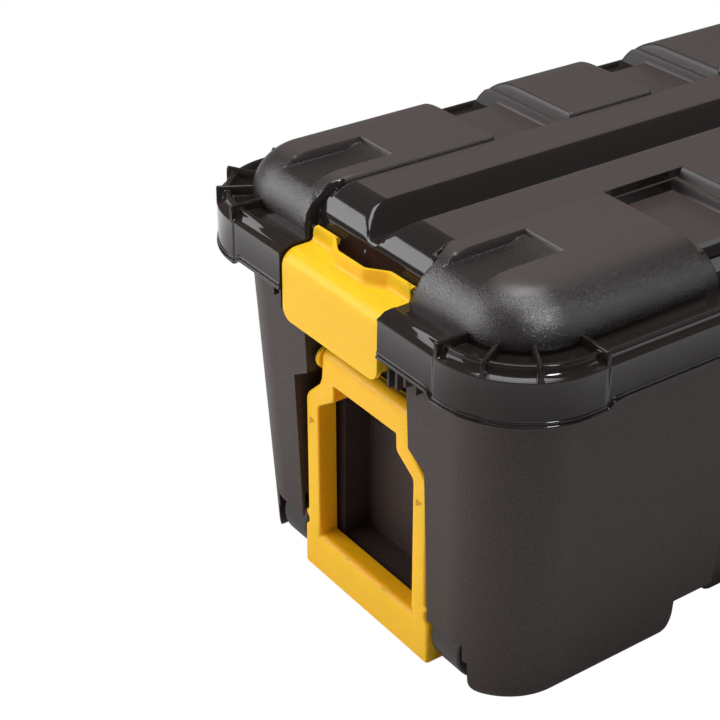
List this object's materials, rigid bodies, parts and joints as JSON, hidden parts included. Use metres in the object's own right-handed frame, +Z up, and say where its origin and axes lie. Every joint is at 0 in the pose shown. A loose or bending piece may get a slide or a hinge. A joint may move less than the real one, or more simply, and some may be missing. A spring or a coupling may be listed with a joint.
{
  "type": "heavy-duty storage trunk",
  "caption": "Large moulded plastic storage trunk with a domed lift-off lid, yellow over-rim end latches, swing-out loop handles and transport wheels at one end.",
  "frame": {"origin": "on the ground at the middle of the trunk, under the centre of its bounding box", "axes": "+X along the trunk away from the wheels, +Y across it, +Z up"},
  "size_m": [0.8272, 0.5092, 0.446],
  "materials": {
    "tub_plastic": "moulded black polypropylene, lightly frosted",
    "lid_plastic": "moulded black polypropylene, polished flats and grained domes",
    "yellow_plastic": "satin yellow polypropylene",
    "wheel_plastic": "moulded black plastic",
    "pin_steel": "plain drawn steel"
  },
  "bodies": {
    "tub": {"tub": "tub_plastic", "handle_pin_near": "pin_steel", "handle_pin_far": "pin_steel", "axle_left": "pin_steel", "axle_right": "pin_steel", "axle_caps": "pin_steel"},
    "lid": {"lid": "lid_plastic"},
    "latch_near": {"latch_near": "yellow_plastic", "latch_pins_near": "pin_steel"},
    "latch_far": {"latch_far": "yellow_plastic", "latch_pins_far": "pin_steel"},
    "handle_near": {"handle_near": "yellow_plastic"},
    "handle_far": {"handle_far": "yellow_plastic"},
    "wheel_left": {"wheel_left": "wheel_plastic"},
    "wheel_right": {"wheel_right": "wheel_plastic"}
  },
  "joints": [
    {"name": "lid_lift", "type": "slide", "parent": "tub", "child": "lid", "axis": [0, 0, 1], "range_m": [0, 0.15]},
    {"name": "latch_near_turn", "type": "hinge", "parent": "lid", "child": "latch_near", "pos_m": [-0.37, 0, 0.403], "axis": [0, 1, 0], "range_deg": [0, 90]},
    {"name": "latch_far_turn", "type": "hinge", "parent": "lid", "child": "latch_far", "pos_m": [0.37, 0, 0.403], "axis": [0, -1, 0], "range_deg": [0, 90]},
    {"name": "handle_near_turn", "type": "hinge", "parent": "tub", "child": "handle_near", "pos_m": [-0.36, 0, 0.262], "axis": [0, 1, 0], "range_deg": [0, 90]},
    {"name": "handle_far_turn", "type": "hinge", "parent": "tub", "child": "handle_far", "pos_m": [0.36, 0, 0.262], "axis": [0, -1, 0], "range_deg": [0, 90]},
    {"name": "wheel_left_spin", "type": "hinge", "parent": "tub", "child": "wheel_left", "pos_m": [-0.325, 0.128, 0.039], "axis": [0, 1, 0], "continuous": true},
    {"name": "wheel_right_spin", "type": "hinge", "parent": "tub", "child": "wheel_right", "pos_m": [-0.325, -0.128, 0.039], "axis": [0, 1, 0], "continuous": true}
  ]
}
